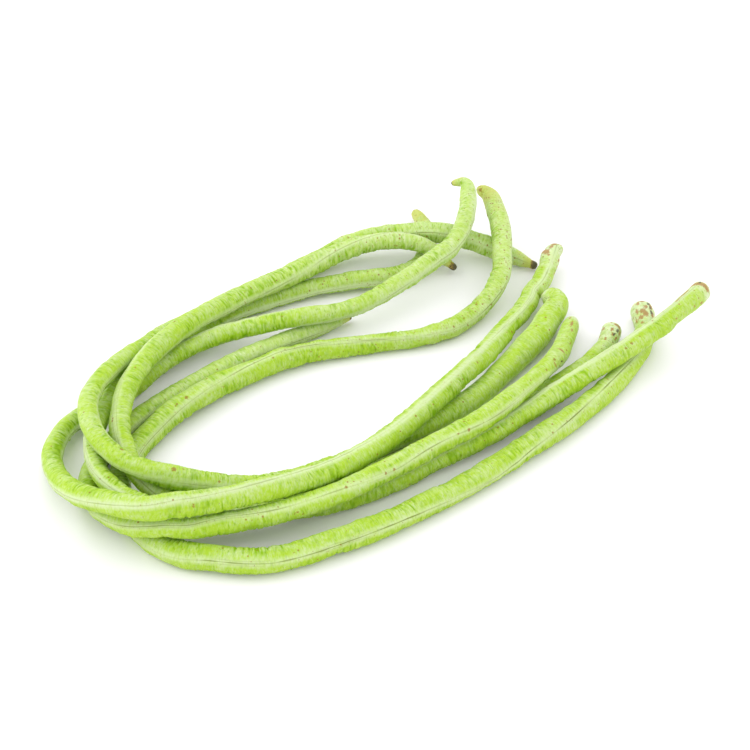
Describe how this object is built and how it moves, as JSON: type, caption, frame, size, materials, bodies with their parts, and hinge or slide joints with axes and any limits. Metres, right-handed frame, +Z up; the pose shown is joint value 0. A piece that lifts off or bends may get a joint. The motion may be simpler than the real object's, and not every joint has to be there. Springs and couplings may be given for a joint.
{
  "type": "yardlong bean bunch",
  "caption": "Bunch of long slender green bean pods folded over into a loose loop, lying flat with its stem ends fanned out to one side.",
  "frame": {"origin": "middle of the bunch's footprint, on the surface it lies on", "axes": "+Z up from the surface, +X along the bunch's longest side, from the fold towards the fanned stem ends, +Y from the front bean towards the thin tips"},
  "size_m": [0.2968, 0.2538, 0.0333],
  "materials": {
    "skin_far_left": "fresh waxy pod skin, light yellow-green",
    "skin_over_top": "fresh waxy pod skin, light yellow-green",
    "skin_inner": "fresh waxy pod skin, light green",
    "skin_far_right": "fresh waxy pod skin, light yellow-green",
    "skin_middle": "fresh waxy pod skin, light green",
    "skin_front": "fresh waxy pod skin, light yellow-green"
  },
  "bodies": {
    "root": {"bean_far_left": "skin_far_left", "bean_over_top": "skin_over_top", "bean_inner": "skin_inner", "bean_far_right": "skin_far_right", "bean_middle": "skin_middle", "bean_front": "skin_front"}
  },
  "joints": []
}
